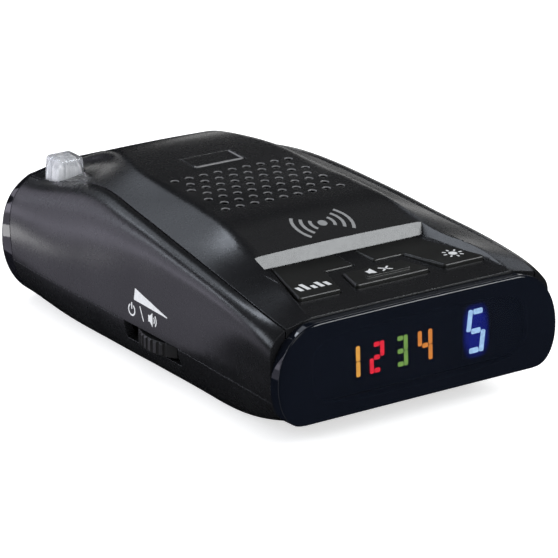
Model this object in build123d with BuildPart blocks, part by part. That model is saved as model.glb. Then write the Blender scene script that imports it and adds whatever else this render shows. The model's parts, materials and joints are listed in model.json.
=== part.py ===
"""Dashboard radar detector, millimetres.

+Z is up and the unit rests on Z = 0.  The display faces -Y, towards the driver, and the radar
window faces +Y, towards the road.  The origin is under the middle of the unit.
"""

import os
from collections import namedtuple

from build123d import *

os.makedirs("parts", exist_ok=True)

# ---------------------------------------------------------------- driving dimensions
LENGTH = 115.2  # front of the display window to the back of the radar window
WIDTH = 70.0
HALF_WIDTH = WIDTH / 2
WALL = 1.9  # moulded case wall
SEAM_Z = 11.05  # parting line between upper shell and bottom case
SEAM_GAP = 0.12
GROOVE_GAP = 0.36  # shadow line between the top cover and the upper shell
CLEARANCE = 0.1

FRONT_Y = -57.0
BODY_FRONT_Y = -53.2  # where the case ends and the display bezel begins
BODY_REAR_Y = 52.6  # where the case ends and the radar window begins, low down
PARTING_TOP_Y, PARTING_TOP_Z = 56.6, 34.7  # the joint leans back above mid height
REAR_Y = FRONT_Y + LENGTH

# Display end: rounded outline that leans back a little
DISPLAY_BOTTOM = 6.5
DISPLAY_HEIGHT = 21.0
DISPLAY_LEAN = 2.9  # degrees
WINDOW_THICKNESS = 1.6

# Cross-sections of the case.  groove is where the top cover meets the shell, crest is where the
# flat of the top cover turns down towards the groove, sag hollows the slope between the two, and
# shoulder is how steeply the side wall leaves the groove, in degrees below horizontal.
Station = namedtuple(
    "Station", "y half bottom corner belly groove_x groove_z crest_x crest_z sag shoulder"
)
STATIONS = [
    Station(-53.2, 35.0, 6.3, 7.5, 15.5, 31.0, 26.6, 24.0, 28.1, 0, 28),
    Station(-48.0, 34.7, 4.2, 8.5, 15.0, 31.7, 27.5, 24.4, 29.15, 0, 21),
    Station(-40.0, 34.3, 1.7, 9.0, 14.5, 31.4, 28.5, 23.2, 30.55, 0, 11),
    Station(-27.0, 34.0, -0.1, 9.0, 14.0, 30.3, 29.7, 20.9, 31.9, 0, 2),
    Station(-20.0, 33.9, -0.2, 9.0, 14.0, 29.7, 30.26, 20.4, 33.7, 0.1, 1),
    Station(-12.0, 33.9, -0.2, 9.0, 13.8, 29.05, 30.92, 20.0, 35.1, 0.1, -2),
    Station(0.0, 34.1, -0.2, 9.0, 13.6, 28.0, 31.91, 19.3, 35.75, 0.1, -4),
    Station(15.0, 34.5, -0.2, 9.0, 13.5, 26.5, 32.9, 18.5, 36.15, 0.1, -5),
    Station(28.0, 34.8, -0.2, 9.0, 13.5, 25.1, 33.1, 17.5, 36.65, 0.15, -2),
    Station(37.0, 35.0, -0.2, 9.5, 13.6, 25.5, 31.95, 15.2, 36.6, 0.5, 6),
    Station(45.0, 35.0, -0.2, 10.5, 14.0, 27.0, 30.25, 14.8, 35.2, 1.0, 16),
    Station(52.0, 35.0, -0.2, 11.5, 14.4, 27.9, 29.2, 16.0, 32.5, 0.8, 24),
    Station(58.2, 35.0, -0.1, 11.5, 14.5, 27.2, 28.75, 18.5, 30.8, 0, 27),
]
CREST_SOFTNESS = 1.4  # length over which the crest is rounded, each side
CREST_CROWN = 0.35
SHOULDER_REACH = 6.0  # how far the shoulder runs on before it turns down

# Button panel, sunk into the front of the top cover
RISER_TOP_Y = -26.7
PANEL_BACK_Y = -28.05
PANEL_BACK_Z = 29.45
KEY_FRONT_Y = -46.3
PANEL_FRONT_Z = 28.62  # at the keys' front edge
PANEL_LIP_Z = 27.88  # at the cover's front edge
PANEL_UNDERSIDE_Z = 26.9
RECESS_FLOOR_Z = 26.0
RECESS_DRAFT = 28.0  # how far the side walls of the recess lean outwards, degrees
RECESS_RIGHT = [(17.6, -20), (17.6, -27.0), (18.5, -28.0), (26.0, -60)]
KEY_TOP_Z = 29.55
KEY_EDGE = 0.5
KEY_BACK_Y = -28.3
KEY_GAP = 0.22
KEY_FLANGE = 0.8  # how far a key spreads under the panel
KEY_RIGHT = [
    (13.1, KEY_FRONT_Y),
    (23.6, KEY_FRONT_Y),
    (18.4, KEY_BACK_Y),
    (2.45, KEY_BACK_Y),
    (2.45, -35.7),
    (9.9, -35.7),
]
KEY_LEFT = [(-x, y) for x, y in KEY_RIGHT]
KEY_CENTER = [(-9.44, KEY_FRONT_Y), (9.44, KEY_FRONT_Y), (7.5, -38.6), (-7.5, -38.6)]
SWITCH_SITES = {"left": (-15.5, -37.5), "center": (0.0, -42.0), "right": (15.5, -37.5)}
SWITCH_SIZE = 6.0
SWITCH_HEIGHT = 2.2
PLUNGER_RADIUS = 1.6
RUNNING = 0.05  # radial running clearance

# Speaker and its grille
GRILLE_Y = 4.5
HOLE_PITCH = 3.72
ROW_PITCH = 3.4
GRILLE_ROWS = 7
GRILLE_LONG_ROW = 9
HOLE_DIAMETER = 1.9
SPEAKER_RADIUS = 15.0
SPEAKER_TOP_Z = 32.3

# Bracket passage and the release tab above it
SLOT_HALF = 8.2
SLOT_BOTTOM_Z = 29.6
SLOT_TOP_Z = 31.4
TAB_HALF = 6.3
TAB_FRONT_Y = 19.7
TAB_REAR_Y = 26.0
TAB_SLIT = 0.45
TAB_AXIS_Y, TAB_AXIS_Z = 30.0, 33.2

# Power and volume wheel
WHEEL_X, WHEEL_Y = -22.3, -5.5
WHEEL_RADIUS = 12.5
WHEEL_Z = 7.4
WHEEL_THICKNESS = 3.1
WHEEL_NOTCHES = 44
PIVOT_RADIUS = 2.0
SLOT_FRONT_Y, SLOT_REAR_Y = -16.1, 5.1

# Power inlet on the right side
JACK_Y, JACK_Z = -8.0, 7.9
JACK_BORE_RADIUS = 1.8
JACK_NOSE_RADIUS = 3.1
JACK_DEPTH = 12.0

# Rear sensor lens
LENS_X, LENS_Y = -23.4, 48.0
LENS_WIDTH, LENS_DEPTH = 7.6, 7.4  # at the foot
LENS_DRAFT = 5.0
LENS_BOTTOM_Z = 28.2
LENS_TOP_Z = 34.9
LENS_CORNER = 1.5

# Boards, stacked on the case bosses
BOARD_THICKNESS = 1.6
MAIN_BOARD_Z = 12.6
KEY_BOARD_Z = 19.0
BOSSES = [(-22.0, -22.0), (22.0, -22.0), (-21.2, 37.0), (21.2, 37.0)]
KEY_POSTS = [(-22.4, -31.2), (22.4, -31.2)]

# Display marks: centre across, and the segments lit, from top round to middle
DISPLAY_BOARD_Y = -49.4
NUMERAL_CENTERS = [-16.0, -10.0, -4.1, 2.1]
NUMERAL_Z = 16.7
NUMERAL_WIDTH, NUMERAL_HEIGHT, NUMERAL_STROKE = 3.6, 6.5, 0.95
NUMERALS = ["bc", "abged", "abgcd", "fgbc"]
DIGIT_CENTER = 15.1
DIGIT_Z = 17.15
DIGIT_WIDTH, DIGIT_HEIGHT, DIGIT_STROKE = 5.0, 9.5, 1.15
DIGIT_SLANT = 8.0  # degrees
DIGIT_LIT = "afgcd"
DIGIT_DARK = "be"


def save(part, name):
    """Writes one finished piece as parts/NAME.step."""
    part.label = name
    export_step(part, f"parts/{name}.step")


def cross_plane(y):
    """A vertical plane across the unit at y: its local axes are X and Z."""
    return Plane.XZ.offset(-y)


# ---------------------------------------------------------------- case outline
def half_edges(s, side, inset):
    """The control points of one side of a cross-section, from the bottom up to the crest."""
    half, bottom = s.half - inset, s.bottom + inset
    corner = max(s.corner - 0.7 * inset, 3.0)
    gx, gz = s.groove_x - 0.75 * inset, s.groove_z - 0.85 * inset
    cx, cz = s.crest_x - 0.35 * inset, s.crest_z - 1.05 * inset
    lean = Vector(1, 0).rotate(Axis.Z, -s.shoulder) * (SHOULDER_REACH - 0.35 * inset)
    swell = s.belly + 0.56 * (gz - s.belly)
    low = Vector(gx - (0.5 + 0.2 * s.sag) * (gx - cx), gz + (0.5 - 0.38 * s.sag) * (cz - gz))
    slope = (low - Vector(cx, cz)).normalized() * CREST_SOFTNESS
    rows = {
        "corner": [
            (half - corner, bottom),
            (half - 0.45 * corner, bottom),
            (half, s.belly - 0.55 * (s.belly - bottom)),
            (half, s.belly),
        ],
        "wall": [(half, s.belly), (half, swell), (gx + lean.X, gz + lean.Y), (gx, gz)],
        "slope": [(gx, gz), (low.X, low.Y), (cx + slope.X, cz + slope.Y)],
        "crest": [(cx + slope.X, cz + slope.Y), (cx, cz), (cx - CREST_SOFTNESS, cz)],
    }
    return {k: [(side * x, z) for x, z in v] for k, v in rows.items()}


def cross_section(s, inset=0.0):
    """The closed outline of one cross-section, in its own plane."""
    right, left = half_edges(s, 1, inset), half_edges(s, -1, inset)
    with BuildLine() as outline:
        Line(left["corner"][0], right["corner"][0])
        Bezier(*right["corner"])
        Bezier(*right["wall"])
        Bezier(*right["slope"])
        Bezier(*right["crest"])
        top_right, top_left = right["crest"][-1], left["crest"][-1]
        Bezier(top_right, (0, top_right[1] + CREST_CROWN), top_left)
        Bezier(*reversed(left["crest"]))
        Bezier(*reversed(left["slope"]))
        Bezier(*reversed(left["wall"]))
        Bezier(*reversed(left["corner"]))
    return outline.edges()


def stretched(stations, extra):
    """The stations with the first and last moved outwards, so that a cut runs past both ends."""
    first, last = stations[0], stations[-1]
    return (
        [first._replace(y=first.y - extra)]
        + stations[1:-1]
        + [last._replace(y=last.y + extra)]
    )


with BuildPart() as envelope:
    for station in STATIONS:
        with BuildSketch(cross_plane(station.y)):
            make_face(cross_section(station))
    loft()
    with Locations((0, 0, -5)):
        Box(2 * WIDTH, 2 * LENGTH, 10, mode=Mode.SUBTRACT)

# ---------------------------------------------------------------- reference volumes
with BuildPart() as hollow:
    for station in stretched(STATIONS, 1.0):
        with BuildSketch(cross_plane(station.y)):
            make_face(cross_section(station, WALL))
    loft()

with BuildPart() as lip_space:
    for station in stretched(STATIONS, 1.0):
        with BuildSketch(cross_plane(station.y)):
            make_face(cross_section(station, WALL + CLEARANCE))
    loft()

with BuildPart() as core:
    for station in stretched(STATIONS, 1.0):
        with BuildSketch(cross_plane(station.y)):
            make_face(cross_section(station, WALL + 1.0))
    loft()

with BuildPart() as radar_space:
    with BuildSketch(Plane.YZ):
        with BuildLine():
            Polyline(
                (BODY_REAR_Y, -5),
                (BODY_REAR_Y, 14),
                (PARTING_TOP_Y, PARTING_TOP_Z),
                (PARTING_TOP_Y, 50),
                (80, 50),
                (80, -5),
                close=True,
            )
        make_face()
    extrude(amount=60, both=True)

with BuildPart() as wall:
    add(envelope.part)
    add(hollow.part, mode=Mode.SUBTRACT)
    add(radar_space.part, mode=Mode.SUBTRACT)


def slab(low, high):
    """A block spanning two opposite corners."""
    size = [b - a for a, b in zip(low, high)]
    middle = tuple((a + b) / 2 for a, b in zip(low, high))
    with BuildPart() as block:
        with Locations(middle):
            Box(*size)
    return block.part


def groove_prism(grow, low=20.0):
    """A vertical prism inside the groove line, grown sideways."""
    right = [(s.groove_x + grow, s.y) for s in stretched(STATIONS, 2.0)]
    left = [(-x, y) for x, y in reversed(right)]
    with BuildPart() as prism:
        with BuildSketch(Plane.XY.offset(low)):
            with BuildLine():
                Spline(*right)
                Line(right[-1], left[0])
                Spline(*left)
                Line(left[-1], right[0])
            make_face()
        extrude(amount=30)
    return prism.part


def outline(points, grow=0.0, radius=0.0):
    """A closed outline through the points, grown and with rounded corners."""
    with BuildSketch() as sketch:
        with BuildLine():
            Polyline(*points, close=True)
        make_face()
        if radius:
            fillet(sketch.vertices(), radius)
        if grow:
            offset(amount=grow)
    return sketch.sketch


KEYS = {"left": KEY_LEFT, "center": KEY_CENTER, "right": KEY_RIGHT}
grille_sites = []
for row in range(GRILLE_ROWS):
    count = GRILLE_LONG_ROW - row % 2
    y = GRILLE_Y + (row - (GRILLE_ROWS - 1) / 2) * ROW_PITCH
    grille_sites += [((i - (count - 1) / 2) * HOLE_PITCH, y) for i in range(count)]

# ---------------------------------------------------------------- top cover
riser_run = (RISER_TOP_Y - PANEL_BACK_Y) / (31.8 - PANEL_BACK_Z)
with BuildPart() as recess:
    with BuildSketch(Plane.YZ):
        with BuildLine():
            Polyline(
                (-60, PANEL_LIP_Z - 0.7),
                (BODY_FRONT_Y, PANEL_LIP_Z),
                (KEY_FRONT_Y, PANEL_FRONT_Z),
                (PANEL_BACK_Y, PANEL_BACK_Z),
                (PANEL_BACK_Y + riser_run * (40 - PANEL_BACK_Z), 40),
                (-60, 40),
                close=True,
            )
        make_face()
    extrude(amount=40, both=True)
    with BuildPart(mode=Mode.PRIVATE) as recess_sides:
        with BuildSketch(Plane.XY.offset(RECESS_FLOOR_Z)):
            with BuildLine():
                Polyline(*RECESS_RIGHT, *[(-x, y) for x, y in reversed(RECESS_RIGHT)], close=True)
            make_face()
        extrude(amount=12, taper=-RECESS_DRAFT)
    add(recess_sides.part, mode=Mode.INTERSECT)

with BuildPart() as top_cover:
    add(wall.part)
    add(groove_prism(-GROOVE_GAP / 2), mode=Mode.INTERSECT)
    add(slab((-23.5, BODY_FRONT_Y, PANEL_UNDERSIDE_Z), (23.5, RISER_TOP_Y + 1.5, 30.6)))
    for x, y in BOSSES:
        low = MAIN_BOARD_Z + BOARD_THICKNESS if y < 0 else 12.0
        with BuildSketch(Plane.XY.offset(low)):
            with Locations((x, y)):
                Circle(2.8)
        extrude(amount=31.5 - low)
    with BuildSketch(Plane.XY.offset(KEY_BOARD_Z + BOARD_THICKNESS)):
        with Locations(*KEY_POSTS):
            Circle(1.7)
    extrude(amount=PANEL_UNDERSIDE_Z + 0.2 - KEY_BOARD_Z - BOARD_THICKNESS)
    for side in (-1, 1):
        with Locations((side * 5.2, TAB_AXIS_Y, TAB_AXIS_Z + 0.4)):
            Box(1.4, 3.0, 2.6)
    add(recess.part, mode=Mode.SUBTRACT)
    for points in KEYS.values():
        with BuildSketch(Plane.XY.offset(20)):
            add(outline(points, KEY_GAP, 0.6))
        extrude(amount=12, mode=Mode.SUBTRACT)
    with BuildSketch(Plane.XY.offset(30)):
        with Locations(*grille_sites):
            Circle(HOLE_DIAMETER / 2)
    extrude(amount=10, mode=Mode.SUBTRACT)
    add(
        slab(
            (-TAB_HALF - TAB_SLIT, TAB_FRONT_Y - TAB_SLIT, 30),
            (TAB_HALF + TAB_SLIT, TAB_REAR_Y + CLEARANCE, 40),
        ),
        mode=Mode.SUBTRACT,
    )
    add(slab((-SLOT_HALF, 40, SLOT_BOTTOM_Z), (SLOT_HALF, 60, SLOT_TOP_Z)), mode=Mode.SUBTRACT)
    add(slab((-SLOT_HALF, 53, SLOT_BOTTOM_Z), (SLOT_HALF, 60, 40)), mode=Mode.SUBTRACT)
    with Locations(Location((0, TAB_AXIS_Y, TAB_AXIS_Z), (0, 90, 0))):
        Cylinder(0.8 + RUNNING, 30, mode=Mode.SUBTRACT)
    with BuildSketch(Plane.XY.offset(25)):
        with Locations((LENS_X, LENS_Y)):
            RectangleRounded(LENS_WIDTH + 0.3, LENS_DEPTH + 0.3, LENS_CORNER + 0.15)
    extrude(amount=15, mode=Mode.SUBTRACT)
    for x, y in BOSSES + KEY_POSTS:
        depth = 10.0 if (x, y) in BOSSES else 5.0
        low = KEY_BOARD_Z if (x, y) in KEY_POSTS else 11.0
        with BuildSketch(Plane.XY.offset(low)):
            with Locations((x, y)):
                Circle(1.2 if (x, y) in BOSSES else 0.85)
        extrude(amount=depth + 3, mode=Mode.SUBTRACT)

# ---------------------------------------------------------------- upper shell
with BuildPart() as ledge:
    add(hollow.part)
    add(core.part, mode=Mode.SUBTRACT)
    add(groove_prism(2.6, 22.0), mode=Mode.INTERSECT)
    add(groove_prism(-2.2, 10.0), mode=Mode.SUBTRACT)
    add(slab((-40, -49.6, 0), (40, 48.6, 40)), mode=Mode.INTERSECT)

with BuildPart() as upper_shell:
    add(wall.part)
    add(slab((-60, -80, SEAM_Z + SEAM_GAP / 2), (60, 80, 60)), mode=Mode.INTERSECT)
    add(groove_prism(GROOVE_GAP / 2), mode=Mode.SUBTRACT)
    add(ledge.part)
    with BuildSketch(Plane.XY.offset(20)):
        with Locations(*BOSSES):
            Circle(3.1)
    extrude(amount=12, mode=Mode.SUBTRACT)
    add(slab((-29.5, 42.4, 24.2), (29.5, 44.2, 26.4)))
    add(slab((-32.6, -48.0, 22.9), (32.6, -46.4, 24.5)))
    add(slab((-24, -50, PANEL_UNDERSIDE_Z - 0.05), (24, -46, 30)), mode=Mode.SUBTRACT)
    with BuildSketch(Plane.XY.offset(26.8)):
        with Locations((LENS_X, LENS_Y)):
            RectangleRounded(LENS_WIDTH + 0.3, LENS_DEPTH + 0.3, LENS_CORNER + 0.15)
    extrude(amount=15, mode=Mode.SUBTRACT)

# ---------------------------------------------------------------- bottom case
with BuildPart() as lip:
    add(hollow.part)
    add(slab((-60, BODY_FRONT_Y + 3.6, 9.4), (60, BODY_REAR_Y - 3.6, SEAM_Z)), mode=Mode.INTERSECT)
    add(core.part, mode=Mode.SUBTRACT)

with BuildPart() as tongue:
    add(lip_space.part)
    add(
        slab((-60, BODY_FRONT_Y + 3.6, SEAM_Z - 0.3), (60, BODY_REAR_Y - 3.6, SEAM_Z + 1.1)),
        mode=Mode.INTERSECT,
    )
    add(core.part, mode=Mode.SUBTRACT)

with BuildPart() as bottom_case:
    add(wall.part)
    add(slab((-60, -80, -1), (60, 80, SEAM_Z - SEAM_GAP / 2)), mode=Mode.INTERSECT)
    add(lip.part)
    add(tongue.part)
    for x, y in BOSSES:
        top = MAIN_BOARD_Z if y < 0 else 11.9
        with BuildSketch(Plane.XY.offset(1.0)):
            with Locations((x, y)):
                Circle(3.6)
        extrude(amount=top - 1.0)
        with BuildSketch():
            with Locations((x, y)):
                Circle(1.45)
        extrude(amount=top + 1, mode=Mode.SUBTRACT)
        with BuildSketch():
            with Locations((x, y)):
                Circle(2.7)
        extrude(amount=5.0, mode=Mode.SUBTRACT)
    with BuildSketch(Plane.XY.offset(1.0)):
        with Locations((WHEEL_X, WHEEL_Y)):
            Circle(3.2)
    extrude(amount=4.6)
    add(
        slab((-40, SLOT_FRONT_Y, WHEEL_Z - 0.45), (-28, SLOT_REAR_Y, SEAM_Z + 3)),
        mode=Mode.SUBTRACT,
    )
    with BuildSketch(Plane.YZ.offset(28)):
        with Locations((JACK_Y, JACK_Z)):
            Circle(JACK_NOSE_RADIUS + 0.2)
    extrude(amount=10, mode=Mode.SUBTRACT)
    add(slab((-14.2, 3.8, -1), (14.2, 30.2, 0.35)), mode=Mode.SUBTRACT)

save(top_cover.part, "top_cover")
save(upper_shell.part, "upper_shell")
save(bottom_case.part, "bottom_case")

# ---------------------------------------------------------------- display end
lean_sin = Vector(0, 1).rotate(Axis.Z, -DISPLAY_LEAN).X
lean_cos = Vector(0, 1).rotate(Axis.Z, -DISPLAY_LEAN).Y
display_plane = Plane(
    origin=(0, FRONT_Y, DISPLAY_BOTTOM), x_dir=(1, 0, 0), z_dir=(0, -lean_cos, lean_sin)
)


def display_outline(inset=0.0):
    """The rounded outline of the display, in the plane of its face."""
    rise, half, top, base = 9.0, HALF_WIDTH - inset, DISPLAY_HEIGHT - inset, inset
    low, high = 5.7 - 0.5 * inset, 10.4 - 0.5 * inset
    lower = [
        (half - low, base),
        (half - 0.42 * low, base),
        (half, rise - 0.6 * (rise - base)),
        (half, rise),
    ]
    upper = [
        (half, rise),
        (half, rise + 0.58 * (top - rise)),
        (half - 0.44 * high, top),
        (half - high, top),
    ]
    with BuildSketch() as sketch:
        with BuildLine():
            Line((low - half, base), (half - low, base))
            Bezier(*lower)
            Bezier(*upper)
            Bezier((half - high, top), (0, top + 0.3), (high - half, top))
            Bezier(*[(-x, y) for x, y in reversed(upper)])
            Bezier(*[(-x, y) for x, y in reversed(lower)])
        make_face()
    return sketch.sketch


with BuildPart() as display_window:
    with BuildSketch(display_plane):
        add(display_outline())
    extrude(amount=-5.5)
    fillet(display_window.faces().sort_by(Axis.Y)[0].edges(), 0.6)
    add(slab((-60, BODY_FRONT_Y - 0.15, 0), (60, 0, 60)), mode=Mode.SUBTRACT)
    with BuildSketch(display_plane.offset(-WINDOW_THICKNESS)):
        add(display_outline(2.6))
    extrude(amount=-4.6)
    with BuildSketch(display_plane.offset(-WINDOW_THICKNESS)):
        add(display_outline(3.7))
    extrude(amount=-10, mode=Mode.SUBTRACT)
save(display_window.part, "display_window")


def bar_segments(width, height, stroke, names, slant=0.0):
    """The named bars of a seven-segment numeral, centred on the origin, leaning right by slant."""
    w, h, gap = width / 2, height / 2, 0.14
    lean = Vector(0, 1).rotate(Axis.Z, -slant)
    across = 2 * (w - stroke - gap)
    tall = h - gap / 2
    bars = {
        "a": (0, h - stroke / 2, across, 0),
        "g": (0, 0, across, 0),
        "d": (0, stroke / 2 - h, across, 0),
        "b": (w - stroke / 2, h - tall / 2, tall, 90),
        "c": (w - stroke / 2, tall / 2 - h, tall, 90),
        "e": (stroke / 2 - w, tall / 2 - h, tall, 90),
        "f": (stroke / 2 - w, h - tall / 2, tall, 90),
    }
    with BuildSketch() as sketch:
        for name in names:
            x, y, long, turn = bars[name]
            with Locations((x + y * lean.X / lean.Y, y)):
                Rectangle(long, stroke, rotation=turn - slant if turn else 0)
        fillet(sketch.vertices(), 0.3 * stroke)
    return sketch.sketch


def mark_face(grow=0.0, numerals=True, digit=DIGIT_LIT + DIGIT_DARK):
    """The display marks as flat outlines in the plane of the display."""
    with BuildSketch() as sketch:
        if numerals:
            for x, names in zip(NUMERAL_CENTERS, NUMERALS):
                with Locations((x, NUMERAL_Z - DISPLAY_BOTTOM)):
                    add(bar_segments(NUMERAL_WIDTH, NUMERAL_HEIGHT, NUMERAL_STROKE, names))
        if digit:
            with Locations((DIGIT_CENTER, DIGIT_Z - DISPLAY_BOTTOM)):
                add(bar_segments(DIGIT_WIDTH, DIGIT_HEIGHT, DIGIT_STROKE, digit, DIGIT_SLANT))
        if grow:
            offset(amount=grow)
    return sketch.sketch


mask_depth = WINDOW_THICKNESS + 0.15
with BuildPart() as display_mask:
    with BuildSketch(display_plane.offset(-mask_depth)):
        add(display_outline(3.8))
        add(mark_face(0.06, digit=""), mode=Mode.SUBTRACT)
        with Locations((DIGIT_CENTER, DIGIT_Z - DISPLAY_BOTTOM)):
            Rectangle(DIGIT_WIDTH + 2.2, DIGIT_HEIGHT + 2.2, mode=Mode.SUBTRACT)
    extrude(amount=-0.6)
save(display_mask.part, "display_mask")

module_width, module_height = DIGIT_WIDTH + 2.0, DIGIT_HEIGHT + 2.0
with BuildPart() as digit_module:
    with BuildSketch(display_plane.offset(-mask_depth)):
        with Locations((DIGIT_CENTER, DIGIT_Z - DISPLAY_BOTTOM)):
            Rectangle(module_width, module_height)
    extrude(amount=-4.9)
    with BuildSketch(display_plane.offset(-mask_depth)):
        add(mark_face(0.03, numerals=False))
    extrude(amount=-1.2, mode=Mode.SUBTRACT)
save(digit_module.part, "digit_module")

for name, bars in [("digit_lit", DIGIT_LIT), ("digit_dark", DIGIT_DARK)]:
    with BuildPart() as segments:
        with BuildSketch(display_plane.offset(-mask_depth)):
            add(mark_face(numerals=False, digit=bars))
        extrude(amount=-1.15)
    save(segments.part, name)

with BuildPart() as band_lights:
    with BuildSketch(display_plane.offset(-mask_depth)):
        add(mark_face(digit=""))
    extrude(amount=-1.0)
    with BuildSketch(display_plane.offset(-mask_depth - 0.7)):
        with Locations(*[(x, NUMERAL_Z - DISPLAY_BOTTOM) for x in NUMERAL_CENTERS]):
            Rectangle(NUMERAL_WIDTH + 0.8, NUMERAL_HEIGHT + 0.8)
    extrude(amount=-3.2)
save(band_lights.part, "band_lights")

with BuildPart() as display_board:
    add(slab((-28, DISPLAY_BOARD_Y, 9.5), (28, DISPLAY_BOARD_Y + 1.2, 24.4)))
save(display_board.part, "display_board")

with BuildPart() as band_leds:
    with Locations(*[(x, DISPLAY_BOARD_Y - 0.4, NUMERAL_Z) for x in NUMERAL_CENTERS]):
        Box(2.0, 0.8, 3.0)
save(band_leds.part, "band_leds")

with BuildPart() as display_header:
    low = MAIN_BOARD_Z + BOARD_THICKNESS
    add(slab((-9, DISPLAY_BOARD_Y + 1.2, low), (9, -45.7, low + 2.5)))
save(display_header.part, "display_header")

# ---------------------------------------------------------------- radar end
with BuildPart() as radar_window:
    add(envelope.part)
    add(Pos(0, 0.15, 0) * radar_space.part, mode=Mode.INTERSECT)
    fillet(radar_window.faces().sort_by(Axis.Y)[-1].edges(), 1.5)
    with BuildPart(mode=Mode.PRIVATE) as plug:
        add(lip_space.part)
        add(slab((-60, BODY_REAR_Y - 2.8, -5), (60, REAR_Y - 1.0, 60)), mode=Mode.INTERSECT)
    add(plug.part)
    with BuildPart(mode=Mode.PRIVATE) as pocket:
        add(core.part)
        add(slab((-60, 40, -5), (60, REAR_Y - 1.9, 60)), mode=Mode.INTERSECT)
    add(pocket.part, mode=Mode.SUBTRACT)
    add(slab((-SLOT_HALF, 45, SLOT_BOTTOM_Z), (SLOT_HALF, 60, 40)), mode=Mode.SUBTRACT)
    add(slab((-28.2, 45, 26), (-18.8, 52.2, 40)), mode=Mode.SUBTRACT)
save(radar_window.part, "radar_window")

# ---------------------------------------------------------------- keys and their switches
for name, points in KEYS.items():
    x, y = SWITCH_SITES[name]
    flange_z = PANEL_UNDERSIDE_Z - 0.95
    with BuildPart() as key:
        with BuildSketch(Plane.XY.offset(flange_z)):
            add(outline(points, 0.0, 0.6))
        extrude(amount=KEY_TOP_Z - flange_z)
        fillet(key.faces().sort_by(Axis.Z)[-1].edges(), KEY_EDGE)
        if name == "center":
            with Locations((0, -44.2, KEY_TOP_Z + 0.05)):
                Box(10.6, 1.0, 0.9)
        with BuildSketch(Plane.XY.offset(flange_z)):
            add(outline(points, KEY_FLANGE, 0.6))
        extrude(amount=0.8)
        with BuildSketch(Plane.XY.offset(KEY_BOARD_Z + BOARD_THICKNESS + 3.0)):
            with Locations((x, y)):
                Circle(1.5)
        extrude(amount=flange_z - KEY_BOARD_Z - BOARD_THICKNESS - 3.0)
    save(key.part, f"{name}_key")

    with BuildPart() as plunger:
        with BuildSketch(Plane.XY.offset(KEY_BOARD_Z + BOARD_THICKNESS + 1.5)):
            with Locations((x, y)):
                Circle(PLUNGER_RADIUS)
        extrude(amount=1.5)
    save(plunger.part, f"{name}_plunger")

with BuildPart() as tact_switches:
    with BuildSketch(Plane.XY.offset(KEY_BOARD_Z + BOARD_THICKNESS)):
        with Locations(*SWITCH_SITES.values()):
            Rectangle(SWITCH_SIZE, SWITCH_SIZE)
    extrude(amount=SWITCH_HEIGHT)
    with BuildSketch(Plane.XY.offset(KEY_BOARD_Z + BOARD_THICKNESS + 0.8)):
        with Locations(*SWITCH_SITES.values()):
            Circle(PLUNGER_RADIUS + RUNNING)
    extrude(amount=SWITCH_HEIGHT, mode=Mode.SUBTRACT)
save(tact_switches.part, "tact_switches")

with BuildPart() as key_board:
    add(slab((-24.6, -46.8, KEY_BOARD_Z), (24.6, -29.2, KEY_BOARD_Z + BOARD_THICKNESS)))
    with Locations(*[(x, y, KEY_BOARD_Z) for x, y in KEY_POSTS]):
        Hole(1.0)
save(key_board.part, "key_board")

with BuildPart() as key_header:
    add(slab((-8, -33.6, MAIN_BOARD_Z + BOARD_THICKNESS), (8, -31.1, KEY_BOARD_Z)))
save(key_header.part, "key_header")

# ---------------------------------------------------------------- volume control
with BuildPart() as volume_wheel:
    with BuildSketch(Plane.XY.offset(WHEEL_Z)):
        with Locations((WHEEL_X, WHEEL_Y)):
            Circle(WHEEL_RADIUS)
            Circle(PIVOT_RADIUS + RUNNING, mode=Mode.SUBTRACT)
    extrude(amount=WHEEL_THICKNESS)
    rim = volume_wheel.edges().filter_by(GeomType.CIRCLE).filter_by(lambda e: e.radius > 10)
    chamfer(rim, 0.35)
    with BuildSketch(Plane.XY.offset(WHEEL_Z)):
        for i in range(WHEEL_NOTCHES):
            turn = 360 / WHEEL_NOTCHES * i
            if abs(turn - 212) < 7:
                continue
            with Locations(Pos(WHEEL_X, WHEEL_Y) * Rot(0, 0, turn) * Pos(WHEEL_RADIUS + 0.1, 0)):
                Circle(0.5)
    extrude(amount=WHEEL_THICKNESS, mode=Mode.SUBTRACT)
save(volume_wheel.part, "volume_wheel")

with BuildPart() as volume_pot:
    with BuildSketch(Plane.XY.offset(WHEEL_Z + WHEEL_THICKNESS + 0.3)):
        with Locations((WHEEL_X, WHEEL_Y)):
            RectangleRounded(12, 12, 1)
    extrude(amount=MAIN_BOARD_Z - WHEEL_Z - WHEEL_THICKNESS - 0.3)
    with BuildSketch(Plane.XY.offset(WHEEL_Z - 0.2)):
        with Locations((WHEEL_X, WHEEL_Y)):
            Circle(PIVOT_RADIUS)
    extrude(amount=WHEEL_THICKNESS + 1.0)
    with BuildSketch(Plane.XY.offset(WHEEL_Z - 1.0)):
        with Locations((WHEEL_X, WHEEL_Y)):
            Circle(3.0)
    extrude(amount=0.8)
save(volume_pot.part, "volume_pot")

# ---------------------------------------------------------------- bracket release
with BuildPart() as release_tab:
    add(wall.part)
    add(slab((-TAB_HALF, TAB_FRONT_Y, 30), (TAB_HALF, TAB_REAR_Y, 40)), mode=Mode.INTERSECT)
    add(slab((-4.2, 21.0, 32.6), (4.2, TAB_REAR_Y, 34.5)))
    add(slab((-4.2, TAB_REAR_Y - 1, 32.6), (4.2, TAB_AXIS_Y, 33.9)))
    add(slab((-3.0, 20.5, 27.3), (3.0, 21.6, 34.5)))
    add(slab((-3.0, 20.5, 27.3), (3.0, 25.5, 28.2)))
    add(slab((-3.0, 24.2, 27.3), (3.0, 25.5, 30.1)))
    with Locations(Location((0, TAB_AXIS_Y, TAB_AXIS_Z), (0, 90, 0))):
        Cylinder(0.8, 11.4)
save(release_tab.part, "release_tab")

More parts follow.
